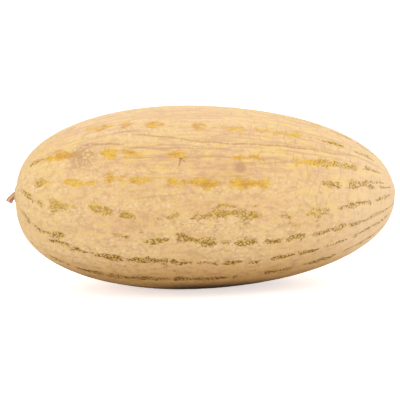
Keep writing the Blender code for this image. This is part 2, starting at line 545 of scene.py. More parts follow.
def cork_relief_tree(material):
    """Raises the cork, sinks the furrows and cracks, and presses the belly flat on the table."""
    tree, given = tree_with_inputs("cork_relief", CORK_RELIEF, takes_geometry=True)
    ring = kept(tree, "ring_radius")
    on_stem_side = calc("LESS_THAN", kept(tree, "from_stem_end"), BELLY_FROM_STEM_END)
    on_blossom_side = 1.0 - on_stem_side
    place = point_place(tree)

    # First the large forms: slow swellings, the furrows that the bands run in, and the marks at both tips.
    swelling = cloud(stretched(place, SWELLING_STRETCH), SWELLING_SPACING)[0] - 0.5
    stem_collar = hump(ring, STEM_COLLAR_RADIUS, STEM_COLLAR_WIDTH) * on_stem_side
    scar_ring = hump(ring, SCAR_RIM_RADIUS, SCAR_RIM_WIDTH) - hump(ring, 0.0, SCAR_PIT_RADIUS)
    forms = (
        swelling * given["Unevenness"]
        - kept(tree, "furrow") * given["Furrow Depth"]
        + stem_collar * given["Stem Collar Height"]
        + scar_ring * on_blossom_side * given["Blossom Scar Height"]
    )
    formed = push_out(given["Geometry"], forms)

    # Then the cork on them.
    net = net_pattern(place, kept(tree, "from_stem_end"), ring)
    closed = 1.0 - net["open"]
    crossed = calc("GREATER_THAN", net["cross_chance"], CROSS_LINES_LEFT_OUT)
    crack = hump(kept(tree, "crack_across"), 0.0, CRACK_WIDTH_MM) * kept(tree, "crack_depth")
    from_knot = vector_calc("DISTANCE", place, given["Knot Place"])
    in_knot = fade(from_knot, KNOT_RADIUS, KNOT_FULL_RADIUS)
    knot = in_knot * fade(net["coarse_edge"], 0.04, 0.30)
    cross_ridge = fade(net["cross_line"], CROSS_RIDGE_HALF_WIDTH, 0.0)
    cork = (
        cross_ridge * crossed * net["open"] * given["Open Net Height"]
        + fade(net["small_edge"], 0.0, 0.30) * closed * given["Close Net Height"]
        - crack * given["Long Crack Depth"]
        + knot * given["Knot Height"]
    )
    corked = push_out(formed, cork)

    # The belly has settled flat on whatever it lies on.
    pressed = moved(corked, Position=vector_calc("MAXIMUM", place, (-1.0, -1.0, 0.0)))
    finish_tree(tree, pressed, material)
    return tree


def grow(name, tree, inputs, start=None):
    """Runs a tree, on a start mesh or on nothing, and gives back a plain mesh."""
    seedling = bpy.data.objects.new(name, start or bpy.data.meshes.new(name))
    bpy.context.scene.collection.objects.link(seedling)
    modifier = seedling.modifiers.new(name, "NODES")
    modifier.node_group = tree
    for socket in tree.interface.items_tree:
        if socket.in_out == "INPUT" and socket.name in inputs:
            modifier[socket.identifier] = inputs[socket.name][1]
    graph = bpy.context.evaluated_depsgraph_get()
    grown = bpy.data.meshes.new_from_object(
        seedling.evaluated_get(graph), preserve_all_data_layers=True, depsgraph=graph
    )
    seedling.modifiers.remove(modifier)
    bpy.data.objects.remove(seedling, do_unlink=True)
    grown.name = name
    return grown


def add_piece(name, mesh):
    piece = bpy.data.objects.new(name, mesh)
    bpy.context.scene.collection.objects.link(piece)
    return piece


# Each band's course over the front, as millimetres from the stem end and degrees round the fruit (0 faces
# the front, 90 the top), and then the streaks that it shows: from, to and half the width in millimetres, and
# how strong.
FRONT_BANDS = (
    (
        ((10, 84), (110, 79), (218, 84), (240, 81), (262, 77), (290, 74)),
        ((214, 223, 1.6, 0.9), (228, 239, 1.8, 1.0), (247, 264, 1.9, 1.0), (268, 284, 1.9, 0.9)),
    ),
    (
        ((20, 74), (60, 68), (110, 61), (150, 58), (290, 57)),
        ((54, 76, 3.8, 0.6), (80, 89, 5.0, 0.7), (99, 113, 4.6, 0.7), (116, 128, 2.4, 0.4),
         (133, 145, 5.0, 0.7), (146, 154, 3.2, 0.5), (157, 175, 4.8, 0.6), (181, 193, 4.6, 0.6),
         (195, 218, 4.4, 0.7), (221, 228, 2.8, 0.5), (231, 254, 1.8, 0.9), (260, 278, 2.2, 0.9)),
    ),
    (
        ((10, 57), (24, 51), (46, 45), (90, 39), (166, 35), (190, 36), (215, 35), (240, 36), (280, 39)),
        ((11, 27, 2.6, 1.0), (24, 50, 4.6, 1.0), (54, 60, 2.6, 0.7), (64, 76, 4.8, 1.0),
         (80, 94, 3.8, 0.8), (112, 126, 4.2, 0.9), (162, 169, 3.0, 0.8), (171, 184, 3.2, 0.7),
         (209, 262, 3.6, 0.75), (268, 284, 2.0, 1.0)),
    ),
    (
        ((14, 27), (34, 24), (56, 21), (64, 22), (74, 24), (84, 22.5), (92, 21), (115, 20.5),
         (150, 18.5), (290, 20)),
        ((15, 26, 3.8, 0.9), (34, 59, 2.8, 1.0), (66, 81, 4.4, 0.7), (84, 101, 2.4, 0.9),
         (112, 120, 4.8, 1.0), (121, 153, 4.4, 0.9), (158, 190, 4.4, 1.0), (232, 246, 2.8, 0.9),
         (253, 275, 3.2, 1.0), (279, 293, 2.2, 0.8)),
    ),
    (
        ((4, 24), (10, 13), (15, 5), (22, 2), (32, 4), (52, 5), (80, 0), (112, -1), (160, 1),
         (205, -3), (240, 0), (262, 2), (292, 5)),
        ((5, 13, 4.0, 1.0), (16, 22, 3.2, 0.8), (26, 39, 5.0, 1.0), (41, 45, 1.8, 0.7),
         (54, 72, 3.8, 0.9), (76, 88, 4.0, 0.9), (108, 122, 2.4, 0.6), (131, 146, 3.0, 0.8),
         (144, 181, 3.4, 1.0), (196, 208, 3.0, 0.5), (217, 237, 4.2, 0.6), (242, 252, 1.6, 0.8),
         (253, 273, 2.8, 1.0), (277, 294, 2.0, 0.9)),
    ),
    (
        ((4, -12), (10, -22), (20, -25), (32, -21), (74, -14), (104, -17), (122, -13), (146, -18), (200, -19),
         (282, -15)),
        ((5, 11, 2.6, 0.9), (13, 21, 2.8, 1.0), (24, 36, 3.2, 1.0), (71, 84, 2.0, 0.8),
         (93, 114, 3.2, 0.8), (120, 149, 3.4, 1.0), (153, 160, 3.0, 0.8), (163, 181, 3.2, 1.0),
         (186, 200, 2.6, 1.0), (202, 218, 2.6, 0.8), (224, 252, 2.6, 0.9), (253, 294, 1.8, 1.0)),
    ),
    (
        ((10, -36), (36, -30), (70, -32), (100, -31), (150, -33), (180, -35), (240, -32), (280, -28)),
        ((35, 53, 2.6, 0.8), (57, 80, 3.4, 1.0), (83, 113, 3.2, 0.9), (115, 133, 2.8, 0.8),
         (136, 151, 2.2, 0.6), (155, 169, 3.4, 1.0), (175, 185, 2.4, 0.8), (193, 211, 2.0, 0.9),
         (214, 232, 2.4, 0.9), (235, 252, 1.7, 0.8), (259, 292, 1.9, 0.9)),
    ),
    (
        ((8, -58), (60, -54), (80, -52), (110, -49), (180, -49.5), (225, -48), (280, -46)),
        ((11, 16, 2.4, 0.7), (25, 42, 2.4, 0.8), (47, 65, 3.2, 1.0), (69, 116, 3.4, 1.0),
         (119, 161, 3.2, 0.9), (164, 171, 2.4, 0.8), (189, 211, 2.8, 0.9), (221, 247, 2.8, 1.0),
         (255, 288, 1.9, 0.9)),
    ),
)
# Short ones that lie between the bands, given in the same way.
LOOSE_STREAKS = (
    (((140, 5.5), (190, 4.5)), ((149, 164, 1.7, 0.8), (172, 180, 1.4, 0.7))),
    (((20, -32), (40, -27)), ((25, 37, 1.6, 0.9),)),
    (((196, -9), (236, -8)), ((204, 214, 1.6, 0.6), (222, 229, 1.4, 0.5))),
    (((262, 24), (292, 26)), ((266, 286, 1.6, 0.8),)),
)
HIDDEN_BANDS = 11
HIDDEN_BANDS_SEED = 11
BAND_START = 8.0
BAND_END = 295.0
COURSE_STEP = 50
COURSE_END = 300
COURSE_WANDER = 2.5
STREAK_LENGTHS = (7.0, 38.0)
STREAK_HALF_WIDTHS = (2.4, 4.6)
STREAK_STRENGTHS = (0.6, 1.0)
STREAK_GAPS = (3.0, 16.0)
FIRST_STREAK_GAPS = (0.0, 18.0)


def hidden_bands():
    """Bands for the back and the underside, as evenly spaced as those in front, with streaks as long and as
    far apart as theirs."""
    chance = random.Random(HIDDEN_BANDS_SEED)
    lowest_front = FRONT_BANDS[-1][0][1][1]
    highest_front = FRONT_BANDS[0][0][1][1]
    spacing = (360.0 - (highest_front - lowest_front)) / (HIDDEN_BANDS + 1)
    bands = []
    for number in range(1, HIDDEN_BANDS + 1):
        middle = lowest_front - spacing * number
        course = tuple(
            (station, middle + chance.uniform(-COURSE_WANDER, COURSE_WANDER))
            for station in range(0, COURSE_END + 1, COURSE_STEP)
        )
        streaks = []
        reached = BAND_START + chance.uniform(*FIRST_STREAK_GAPS)
        while reached < BAND_END:
            length = chance.uniform(*STREAK_LENGTHS)
            half_width = chance.uniform(*STREAK_HALF_WIDTHS)
            strength = chance.uniform(*STREAK_STRENGTHS)
            streaks.append((reached, min(reached + length, BAND_END), half_width, strength))
            reached += length + chance.uniform(*STREAK_GAPS)
        bands.append((course, tuple(streaks)))
    return tuple(bands)


# The long cracks that healed over the front: the course of each, given as for the bands, and how deep it is,
# from 0 to 1.
FRONT_CRACKS = (
    (((43, 48), (56, 52.5), (72, 48.5), (84, 46)), 1.0),
    (((74, 46.5), (98, 42), (138, 41), (164, 41)), 0.55),
    (((84, 55), (114, 50), (138, 46), (162, 45), (192, 45.5), (220, 46), (240, 46), (264, 49)), 0.90),
    (((70, 59), (82, 58), (98, 57.5)), 1.0),
    (((144, 49.5), (162, 53), (182, 53), (200, 51)), 0.50),
    (((102, 78), (148, 79.5)), 0.80),
    (((84, 10), (112, 12), (140, 13.5)), 0.40),
    (((140, 22.5), (160, 23), (184, 25)), 0.40),
    (((158, 31), (186, 32), (216, 34.5), (242, 36.5)), 0.45),
    (((200, 61), (236, 62), (262, 60)), 0.45),
    (((22, 82), (50, 80)), 1.0),
    (((206, 76), (240, 78)), 1.0),
    (((238, 80), (266, 82)), 1.0),
    (((246, 50), (270, 49), (292, 47)), 1.0),
)
HIDDEN_CRACKS = 12
HIDDEN_CRACKS_SEED = 5
FIRST_HIDDEN_CRACK = 92.0
HIDDEN_CRACKS_SPREAD = 100.0
HIDDEN_CRACK_STARTS = (30.0, 170.0)
HIDDEN_CRACK_LENGTHS = (30.0, 120.0)
HIDDEN_CRACK_DEPTHS = (0.3, 0.9)


def hidden_cracks():
    """Long cracks for the top and the back, as long and as deep as those in front."""
    chance = random.Random(HIDDEN_CRACKS_SEED)
    cracks = []
    for number in range(HIDDEN_CRACKS):
        middle = FIRST_HIDDEN_CRACK + HIDDEN_CRACKS_SPREAD * number / HIDDEN_CRACKS
        start = chance.uniform(*HIDDEN_CRACK_STARTS)
        length = chance.uniform(*HIDDEN_CRACK_LENGTHS)
        course = tuple(
            (start + length * share, middle + chance.uniform(-COURSE_WANDER, COURSE_WANDER))
            for share in (0.0, 0.33, 0.67, 1.0)
        )
        cracks.append((course, chance.uniform(*HIDDEN_CRACK_DEPTHS)))
    return tuple(cracks)


# The functions that lay out the cracks and the bands work in millimetres, along the fruit from the stem end
# and across it. A pair is where a change begins and where it is full. The height is a share of the radius,
# and the last two pairs are radii of the fruit.
MM_PER_METRE = 1000.0
CRACK_REACH = 2.0
CRACK_TAPER = 10.0
COURSE_TAPER = 10.0
STREAK_TAPER = 3.0
STREAKS_NARROW_BELOW = 50.0
FURROW_HALF_WIDTH = 2.6
SHADED_HEIGHTS = (0.30, -0.02)
SHADE_CLIMB = 0.28
SHADE_CLIMBS_ALONG = (190.0, 240.0)
OLIVE_BLOSSOM_END = (235.0, 272.0)
OLIVE_STEM_END = (26.0, 12.0)
DARK_HEIGHTS = (0.10, -0.65)
DARK_BLOSSOM_END = (214.0, 246.0)
DEEP_FURROW_RADII = (66.0, 40.0)
FURROW_TIP_RADII = (4.0, 12.0)


def waver(from_stem_end, reach, wave, start):
    """A wander from side to side, so that nothing runs dead straight."""
    return reach * np.sin(from_stem_end / wave + start)


def smooth_step(value, start, end):
    share = np.clip((value - start) / (end - start), 0.0, 1.0)
    return share * share * (3.0 - 2.0 * share)


def read_points(mesh, name):
    values = np.empty(len(mesh.vertices), np.float32)
    mesh.attributes[name].data.foreach_get("value", values)
    return values


def write_points(mesh, name, values):
    mesh.attributes.new(name, "FLOAT", "POINT").data.foreach_set("value", values.astype(np.float32))


def lay_cracks(mesh):
    """Works out for each point how far it is across from the middle of the nearest long crack, in
    millimetres, and how deep that crack is there."""
    from_stem_end = read_points(mesh, "from_stem_end") * MM_PER_METRE
    turn = np.degrees(read_points(mesh, "turn_round"))
    ring_radius = read_points(mesh, "ring_radius") * MM_PER_METRE
    nearest = np.full_like(turn, 2.0 * CRACK_REACH)
    depth = np.zeros_like(turn)
    for number, (course, deepest) in enumerate(FRONT_CRACKS + hidden_cracks()):
        stations, angles = zip(*course)
        off = turn - np.interp(from_stem_end, stations, angles)
        off = (off + 180.0) % 360.0 - 180.0
        across = np.radians(off) * ring_radius + waver(from_stem_end, 0.35, 4.3, number)
        inside_ends = (from_stem_end > stations[0]) & (from_stem_end < stations[-1])
        nearer = inside_ends & (np.abs(across) < np.abs(nearest))
        opening = smooth_step(from_stem_end, stations[0], stations[0] + CRACK_TAPER)
        closing = smooth_step(from_stem_end, stations[-1], stations[-1] - CRACK_TAPER)
        here = deepest * opening * closing * smooth_step(np.abs(across), CRACK_REACH, CRACK_REACH / 2)
        nearest = np.where(nearer, across, nearest)
        depth = np.where(nearer, here, depth)
    write_points(mesh, "crack_across", nearest)
    write_points(mesh, "crack_depth", depth)


def lay_bands(mesh):
    """Works out for each point how strongly it shows a streak, how deep in a band's furrow it is, whether a
    streak there is golden (0), as on the sunned side, or olive (1), and how dark its flecks are."""
    from_stem_end = read_points(mesh, "from_stem_end") * MM_PER_METRE
    turn = np.degrees(read_points(mesh, "turn_round"))
    ring_radius = read_points(mesh, "ring_radius") * MM_PER_METRE
    narrowing = np.clip(ring_radius / STREAKS_NARROW_BELOW, 0.35, 1.0)
    streak = np.zeros_like(turn)
    furrow = np.zeros_like(turn)
    for number, (course, streaks) in enumerate(FRONT_BANDS + hidden_bands() + LOOSE_STREAKS):
        stations, angles = zip(*course)
        off = turn - np.interp(from_stem_end, stations, angles)
        off = (off + 180.0) % 360.0 - 180.0
        across = np.radians(off) * ring_radius
        across += waver(from_stem_end, 0.45, 5.3, number * 1.7) + waver(from_stem_end, 0.3, 2.1, number)
        on_course = smooth_step(from_stem_end, stations[0] - COURSE_TAPER, stations[0])
        on_course *= smooth_step(from_stem_end, stations[-1] + COURSE_TAPER, stations[-1])
        furrow = np.maximum(furrow, on_course * np.exp(-((across / FURROW_HALF_WIDTH) ** 2)))
        for start, end, half_width, strength in streaks:
            reach = half_width * (1.0 + waver(from_stem_end, 0.30, 3.7, start)) * narrowing
            inside = strength * smooth_step(np.abs(across), 1.35 * reach, 0.10 * reach)
            begun = smooth_step(from_stem_end, start - STREAK_TAPER, start + STREAK_TAPER)
            ended = smooth_step(from_stem_end, end + STREAK_TAPER, end - STREAK_TAPER)
            streak = np.maximum(streak, inside * begun * ended)

    # Streaks turn from golden to olive low down, where the fruit was in the shade, and towards both ends.
    # The furrows are deeper at the ends, and run out before the tips.
    height = np.sin(np.radians(turn))
    shade_climbs = SHADE_CLIMB * smooth_step(from_stem_end, *SHADE_CLIMBS_ALONG)
    shaded_side = smooth_step(height - shade_climbs, *SHADED_HEIGHTS)
    blossom_end = 0.8 * smooth_step(from_stem_end, *OLIVE_BLOSSOM_END)
    stem_end = 0.8 * smooth_step(from_stem_end, *OLIVE_STEM_END)
    furrow *= 0.3 + 0.7 * smooth_step(ring_radius, *DEEP_FURROW_RADII)
    furrow *= smooth_step(ring_radius, *FURROW_TIP_RADII)
    write_points(mesh, "streak", streak)
    write_points(mesh, "furrow", furrow)
    write_points(mesh, "olive", np.maximum(shaded_side, np.maximum(blossom_end, stem_end)))
    dark_below = 0.35 + 0.65 * smooth_step(height, *DARK_HEIGHTS)
    dark_ends = np.maximum(0.72 * smooth_step(from_stem_end, *DARK_BLOSSOM_END), stem_end)
    write_points(mesh, "fleck_depth", np.maximum(dark_below * shaded_side, dark_ends))


def place_on(mesh, from_stem_end, turn):
    """The point of the mesh nearest to a place given in millimetres from the stem end and degrees round."""
    half_thickness = fruit_thickness / 2 * MM_PER_METRE
    off_along = read_points(mesh, "from_stem_end") * MM_PER_METRE - from_stem_end
    off_round = np.radians(np.degrees(read_points(mesh, "turn_round")) - turn) * half_thickness
    nearest = int(np.argmin(off_along**2 + off_round**2))
    return mesh.vertices[nearest].co.copy()


def shade(red, green, blue):
    """A colour as a paint chart gives it, from 0 to 255, turned into the shader's linear values."""
    linear = tuple((part / 255.0) ** 2.2 for part in (red, green, blue))
    return linear + (1.0,)


def blend(amount, first, second, blend_type="MIX"):
    """The first colour where the amount is 0, the second where it is 1."""
    node = tree_of(amount).nodes.new("ShaderNodeMix")
    node.data_type = "RGBA"
    node.blend_type = blend_type
    wire(node.inputs[0], amount)
    wire(node.inputs[6], first)
    wire(node.inputs[7], second)
    return Reading(node.outputs[2])


def tint_by(amount, color, tint):
    """The colour as it is where the amount is 0, and multiplied by the tint where it is 1. The rind takes its
    golden tint, its painted shade and its painted contact shadow from it.
    """
    return blend(amount, color, tint, "MULTIPLY")


def point_value(tree, name):
    """A number kept on the mesh, for the colours."""
    node = tree.nodes.new("ShaderNodeAttribute")
    node.attribute_name = name
    return Reading(node.outputs["Fac"])


def painted_place(tree):
    return Reading(tree.nodes.new("ShaderNodeTexCoord").outputs["Object"])


def add_bump(shader, height, strength):
    bump = add_node(shader.id_data, "ShaderNodeBump", Distance=1.0, Strength=strength, Height=height)
    wire(shader.inputs["Normal"], Reading(bump.outputs["Normal"]))


def near_segment(place, start, end):
    """How far a point is from a straight line drawn between two others."""
    run = end - start
    from_start = vector_calc("SUBTRACT", place, tuple(start))
    share = vector_calc("DOT_PRODUCT", from_start, tuple(run)) / run.length_squared
    clamp = add_node(tree_of(share), "ShaderNodeClamp", Value=share)
    return vector_calc("DISTANCE", from_start, scaled(tuple(run), Reading(clamp.outputs["Result"])))


CREAM_SKIN = shade(225, 190, 132)
YELLOW_SKIN = shade(226, 195, 108)
PEACH_SKIN = shade(217, 174, 126)
PINK_CORK = shade(205, 161, 126)
NET_LINE = shade(192, 150, 118)
TAN_CORK = shade(194, 158, 102)
PALE_CORK = shade(235, 204, 164)
CRACK_BROWN = shade(176, 129, 90)
GOLD = shade(224, 179, 74)
DEEP_GOLD = shade(208, 153, 64)
OLIVE_GOLD = shade(200, 159, 46)
DARK_OLIVE = shade(110, 72, 12)
SPOT_BROWN = shade(181, 140, 104)
SUNNED = shade(250, 248, 242)
# Painted shade: the underside darker and browner towards the table.
PAINTED_UNDERSIDE_SHADE = shade(218, 202, 166)
# Painted shadow: dark where the fruit rests on the table.
PAINTED_CONTACT_SHADOW = shade(104, 84, 74)

DRIFT_SPACING = 0.014
DRIFT_STRETCH = 4.5
MOTTLE_SPACING = 0.0034
MOTTLE_STRETCH = 1.5
TAN_MOTTLE_SPACING = 0.0046
TAN_MOTTLE_STRETCH = 2.0
TAN_MOTTLE_SHIFT = (0.5, 0.2, 0.3)
SPECKLE_SPACING = 0.0016


def paint_ground(place, bar):
    """Bare skin and thin cork, mottled together. Gives back the colour and the noises that made it."""
    drift = cloud(stretched(bar, DRIFT_STRETCH), DRIFT_SPACING)[0]
    mottle = cloud(stretched(place, MOTTLE_STRETCH), MOTTLE_SPACING, 4.0)[0]
    tan_place = vector_calc("ADD", stretched(place, TAN_MOTTLE_STRETCH), TAN_MOTTLE_SHIFT)
    tan_mottle = cloud(tan_place, TAN_MOTTLE_SPACING, 4.0)[0]
    speckle = cloud(place, SPECKLE_SPACING, 3.0)[0]
    pinkness = fade(drift, 0.36, 0.66) * 0.40 + fade(mottle, 0.34, 0.66) * 0.60
    color = blend(pinkness, CREAM_SKIN, PEACH_SKIN)
    for noise, start, end, strength, tint in (
        (mottle, 0.50, 0.70, 0.80, PINK_CORK),
        (tan_mottle, 0.50, 0.70, 0.65, TAN_CORK),
        (tan_mottle, 0.48, 0.30, 0.45, YELLOW_SKIN),
        (speckle, 0.54, 0.70, 0.45, PINK_CORK),
        (speckle, 0.44, 0.28, 0.45, PALE_CORK),
    ):
        color = blend(fade(noise, start, end) * strength, color, tint)
    return color, drift, mottle, tan_mottle, speckle


LINE_CORE = 0.0002
CROSS_LINE_EDGE = 0.00075
LONG_LINE_EDGE = 0.00080
SPOKE_LINE_EDGE = 0.00080
CRACK_CORE_MM = 0.10
CRACK_EDGE_MM = 1.45


def paint_net(tree, color, net, drift, mottle, speckle):
    """Small pale cells where the mesh is close, rows of yellow panels with long grain over the top, spokes
    round both tips and the long cracks. Gives back the colour, and how far the cells, the lines across the
    rows and the cracks show."""
    closed = 1.0 - net["open"]
    small_cell = fade(net["small_edge"], 0.10, 0.34) * closed * fade(drift, 0.62, 0.40) * 0.60
    color = blend(small_cell, color, PALE_CORK)

    panel = net["open"] * fade(net["panel_chance"], 0.15, 0.85) * fade(mottle, 0.75, 0.35) * 0.60
    color = blend(panel, color, YELLOW_SKIN)
    grain = fade(net["grain"], 0.52, 0.66) * net["upper"] * 0.68
    color = blend(grain, color, PINK_CORK)
    bright_grain = fade(net["grain"], 0.46, 0.32) * net["upper"] * 0.60
    color = blend(bright_grain, color, YELLOW_SKIN)

    crossed = calc("GREATER_THAN", net["cross_chance"], CROSS_LINES_LEFT_OUT)
    cross_line = fade(net["cross_line"], CROSS_LINE_EDGE, LINE_CORE) * crossed * net["open"] * 0.62
    color = blend(cross_line, color, NET_LINE)
    long_line = fade(net["long_line"], LONG_LINE_EDGE, LINE_CORE) * net["upper"] * net["long_breaks"] * 0.70
    color = blend(long_line, color, NET_LINE)
    spoke_line = fade(net["spoke_line"], SPOKE_LINE_EDGE, LINE_CORE) * net["near_tips"]
    color = blend(spoke_line * fade(mottle, 0.42, 0.55) * 0.70, color, NET_LINE)

    off_crack = calc("ABSOLUTE", point_value(tree, "crack_across"))
    crack = fade(off_crack, CRACK_EDGE_MM, CRACK_CORE_MM) * point_value(tree, "crack_depth")
    crack = crack * (0.45 + fade(speckle, 0.30, 0.60) * 0.55)
    color = blend(crack * 0.85, color, CRACK_BROWN)
    return color, small_cell, cross_line, crack


RAGGED_SPACING = 0.0030
RAGGED_STRETCH = 2.2
DEEP_GOLD_UP_TO = 0.165
PALE_GOLD_FROM = 0.215
FLECK_CELL = 0.0017
FLECK_STRETCH = 1.8
FLECK_WAVER_SPACING = 0.004
FLECK_WAVER_REACH = 0.0026
FLECK_BREAK_SPACING = 0.0017
STRAY_PATCH_SPACING = 0.011


def paint_streaks(tree, color, place, tan_mottle):
    """Golden streaks are soft patches of bare skin. In olive ones the green skin shows as dark lines between
    small pale cells. Gives back the colour and how far bare skin shows."""
    streak = point_value(tree, "streak")
    olive = point_value(tree, "olive")
    golden = 1.0 - olive * olive
    ragged = cloud(stretched(place, RAGGED_STRETCH), RAGGED_SPACING, 5.0)[0] - 0.5
    gold_patch = fade(streak + ragged * 2.4, 0.05, 0.95) * fade(streak, 0.02, 0.25) * golden
    off_blossom_end = fade(point_value(tree, "from_stem_end"), PALE_GOLD_FROM, DEEP_GOLD_UP_TO)
    gold = blend(fade(tan_mottle, 0.38, 0.62) * off_blossom_end, GOLD, DEEP_GOLD)
    color = blend(gold_patch, color, gold)

    wavering = wavered(place, FLECK_WAVER_SPACING, FLECK_WAVER_REACH)
    fleck_place = stretched(wavering, FLECK_STRETCH)
    fleck_chance, fleck_tint = cell_lot(fleck_place, FLECK_CELL)
    fleck_edge = cell_edge(fleck_place, FLECK_CELL)
    fleck_line = fade(fleck_edge, 0.26, 0.10) * fade(cloud(place, FLECK_BREAK_SPACING)[0], 0.38, 0.52)
    cell_share = 0.35 + fade(fleck_tint, 0.3, 0.9) * 0.55
    olive_glow = fade(streak + ragged, 0.15, 0.75) * olive * cell_share
    color = blend(olive_glow, color, OLIVE_GOLD)
    pale_cell = fade(streak, 0.04, 0.30) * fade(fleck_edge, 0.18, 0.36) * olive * 0.25
    color = blend(pale_cell, color, PALE_CORK)
    fleck_shows = streak + ragged * 1.6 + (fleck_chance - 0.5) * 0.6
    darkness = point_value(tree, "fleck_depth") * 0.72 + 0.22
    fleck = fade(fleck_shows, 0.30, 0.55) * fade(streak, 0.01, 0.12) * fleck_line * darkness
    color = blend(fleck, color, DARK_OLIVE)

    # Stray flecks lie between the bands too, in loose patches on the shaded side.
    in_patch = fade(cloud(place, STRAY_PATCH_SPACING)[0], 0.56, 0.70)
    stray = in_patch * fade(fleck_chance, 0.55, 0.75) * fleck_line * olive * 0.45
    color = blend(stray, color, DARK_OLIVE)
    return color, calc("MAXIMUM", gold_patch, fleck)


RUBBED_SPOT_EDGE = 0.0076
RUBBED_SPOT_CORE = 0.0040
RUBBED_SPOT_RAGGED = 0.003
KNOT_STAIN_EDGE = 0.022
KNOT_STAIN_CORE = 0.011
KNOT_STAIN_RAGGED = 0.012
SCRATCH_WAVER_SPACING = 0.0025
SCRATCH_WAVER_REACH = 0.0016


def paint_marks(color, place, net, mottle, spots, lines):
    """A rubbed spot, a knot of coarse cork, and single dark or pale scratches."""
    to_spot = vector_calc("DISTANCE", place, tuple(spots["rubbed"]))
    from_spot = to_spot + mottle * RUBBED_SPOT_RAGGED
    rubbed = fade(from_spot, RUBBED_SPOT_EDGE, RUBBED_SPOT_CORE) * 0.80
    color = blend(rubbed, color, SPOT_BROWN)
    to_knot = vector_calc("DISTANCE", place, tuple(spots["knot"]))
    from_knot = to_knot + mottle * KNOT_STAIN_RAGGED
    in_knot = fade(from_knot, KNOT_STAIN_EDGE, KNOT_STAIN_CORE)
    knot_gap = in_knot * fade(net["coarse_edge"], 0.20, 0.03) * 0.75
    color = blend(in_knot * 0.10, color, SPOT_BROWN)
    color = blend(knot_gap, color, SPOT_BROWN)
    knot_bump = in_knot * fade(net["coarse_edge"], 0.22, 0.42) * 0.50
    color = blend(knot_bump, color, PALE_CORK)
    shaken = wavered(place, SCRATCH_WAVER_SPACING, SCRATCH_WAVER_REACH)
    for start, end, half_width, strength, tint in lines:
        off_line = near_segment(shaken, start, end)
        scratch = fade(off_line, half_width * 1.6, half_width * 0.4) * strength
        color = blend(scratch, color, tint)
    return color


# Each pair is where a change begins and where it is full, in metres: along the fruit from the stem end,
# above the table, from the middle of a scar or a spot, or along the table from the middle of the painted
# contact shadow.
PALE_BLOSSOM_END = (0.205, 0.285)
PALE_STEM_END = (0.060, 0.010)
# The pale top is a painted sheen.
PAINTED_SHEEN_HEIGHTS = (0.112, 0.140)
YELLOW_STEM_END = (0.058, 0.016)
SCAR_RADII = (0.0085, 0.0050)
SCAR_CENTRE_RADII = (0.0032, 0.0012)
SCAR_RAGGED = 0.006
SUNNED_RADII = (0.085, 0.030)
# Heights over which the painted shade of the underside comes in.
UNDERSIDE_SHADE_HEIGHTS = (0.045, 0.010)
# Where the painted contact shadow lies: its heights, its reaches along the table and its centre.
CONTACT_SHADOW_HEIGHTS = (0.0150, 0.0045)
CONTACT_SHADOW_REACHES = (0.085, 0.030)
CONTACT_SHADOW_CENTRE = 0.022
GRIT_SPACING = 0.0010
RIND_SPECULAR = 0.35
RIND_BUMP_STRENGTH = 0.8


def paint_rind(skin, spots, lines):
    """The whole look of the rind: its colour, how glossy it is, and the finest bumps."""
    tree = skin.node_tree
    shader = tree.nodes["Principled BSDF"]
    place = painted_place(tree)
    from_stem_end = point_value(tree, "from_stem_end")
    ring_radius = point_value(tree, "ring_radius")
    net = net_pattern(place, from_stem_end, ring_radius)
    color, drift, mottle, tan_mottle, speckle = paint_ground(place, net["bar"])
    color, small_cell, cross_line, crack = paint_net(tree, color, net, drift, mottle, speckle)
    color, bare = paint_streaks(tree, color, place, tan_mottle)
    color = paint_marks(color, place, net, mottle, spots, lines)

    # Both ends are corkier and so paler, and the stem end is yellower too. The top is paler as well, which is
    # a painted sheen. At the blossom end is a brown scar, where the flower was.
    x, _, height = split_up(place)
    paleness_and_sheen = (
        fade(from_stem_end, *PALE_BLOSSOM_END) * 0.50
        + fade(from_stem_end, *PALE_STEM_END) * 0.10
        + fade(height, *PAINTED_SHEEN_HEIGHTS) * 0.28
    )
    covered = 1.0 - bare
    color = blend(paleness_and_sheen * covered, color, PALE_CORK)
    yellowness = fade(from_stem_end, *YELLOW_STEM_END) * fade(speckle, 0.66, 0.42) * 0.26
    color = blend(yellowness * covered, color, YELLOW_SKIN)
    ragged_radius = ring_radius + (mottle - 0.5) * SCAR_RAGGED
    on_blossom_side = calc("GREATER_THAN", from_stem_end, BELLY_FROM_STEM_END)
    scar = fade(ragged_radius, *SCAR_RADII) * on_blossom_side * 0.60
    color = blend(scar, color, SPOT_BROWN)
    scar_centre = fade(ragged_radius, *SCAR_CENTRE_RADII) * on_blossom_side * 0.80
    color = blend(scar_centre, color, CRACK_BROWN)

    # The side that faced the sun is more golden. Towards the table the rind is painted darker and browner,
    # as painted shade on the underside, and where it touches the table a painted contact shadow is laid on.
    off_resting = calc("ABSOLUTE", x - CONTACT_SHADOW_CENTRE)
    contact_shadow = fade(height, *CONTACT_SHADOW_HEIGHTS) * fade(off_resting, *CONTACT_SHADOW_REACHES)
    from_sunned = vector_calc("DISTANCE", place, tuple(spots["sunned"]))
    color = tint_by(fade(from_sunned, *SUNNED_RADII), color, SUNNED)
    color = tint_by(fade(height, *UNDERSIDE_SHADE_HEIGHTS), color, PAINTED_UNDERSIDE_SHADE)
    color = tint_by(contact_shadow, color, PAINTED_CONTACT_SHADOW)
    wire(shader.inputs["Base Color"], color)

    # Bare skin is a little glossier than cork, and lies a little lower.
    wire(shader.inputs["Roughness"], 0.52 + mottle * 0.12 + speckle * 0.15 - bare * 0.08)
    shader.inputs["Specular IOR Level"].default_value = RIND_SPECULAR
    grit = cloud(place, GRIT_SPACING, 3.0)[0]
    raised = grit * 0.00007 + mottle * 0.00018 + small_cell * 0.00020 + cross_line * 0.00015
    add_bump(shader, raised - crack * 0.00025 - bare * 0.00015, RIND_BUMP_STRENGTH)


